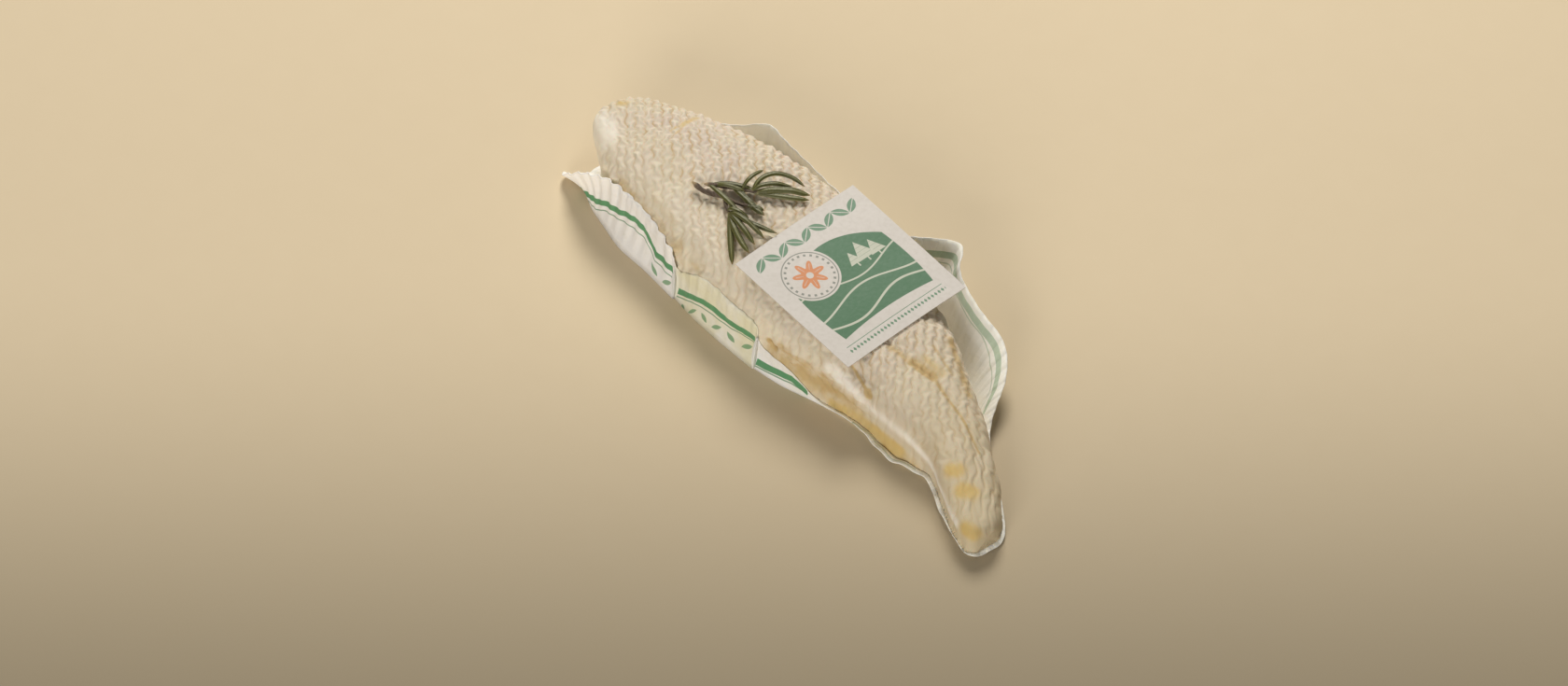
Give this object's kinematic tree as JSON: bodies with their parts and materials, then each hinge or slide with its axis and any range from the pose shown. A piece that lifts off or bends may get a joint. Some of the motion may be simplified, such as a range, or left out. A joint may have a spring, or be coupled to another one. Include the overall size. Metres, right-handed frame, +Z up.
{
  "type": "goat cheese log in a paper case",
  "caption": "Long tapered fresh goat cheese with a knitted-cloth rind, in a pleated printed paper case, with a square card label and a rosemary sprig on top.",
  "frame": {"origin": "on the flat underside of the paper case, near the middle of its length", "axes": "+X from the cheese's fat end to its thin tail, +Z up, +Y towards the far side"},
  "size_m": [0.2142, 0.0795, 0.0356],
  "materials": {
    "rind": "matte, knitted-cloth texture",
    "case_paper": "greaseproof paper, slightly waxy, printed stripes",
    "label_card": "matte printed card",
    "rosemary": "leathery needles, slight sheen"
  },
  "bodies": {
    "root": {"cheese_log": "rind", "paper_case": "case_paper", "label": "label_card", "rosemary_sprig": "rosemary"}
  },
  "joints": []
}
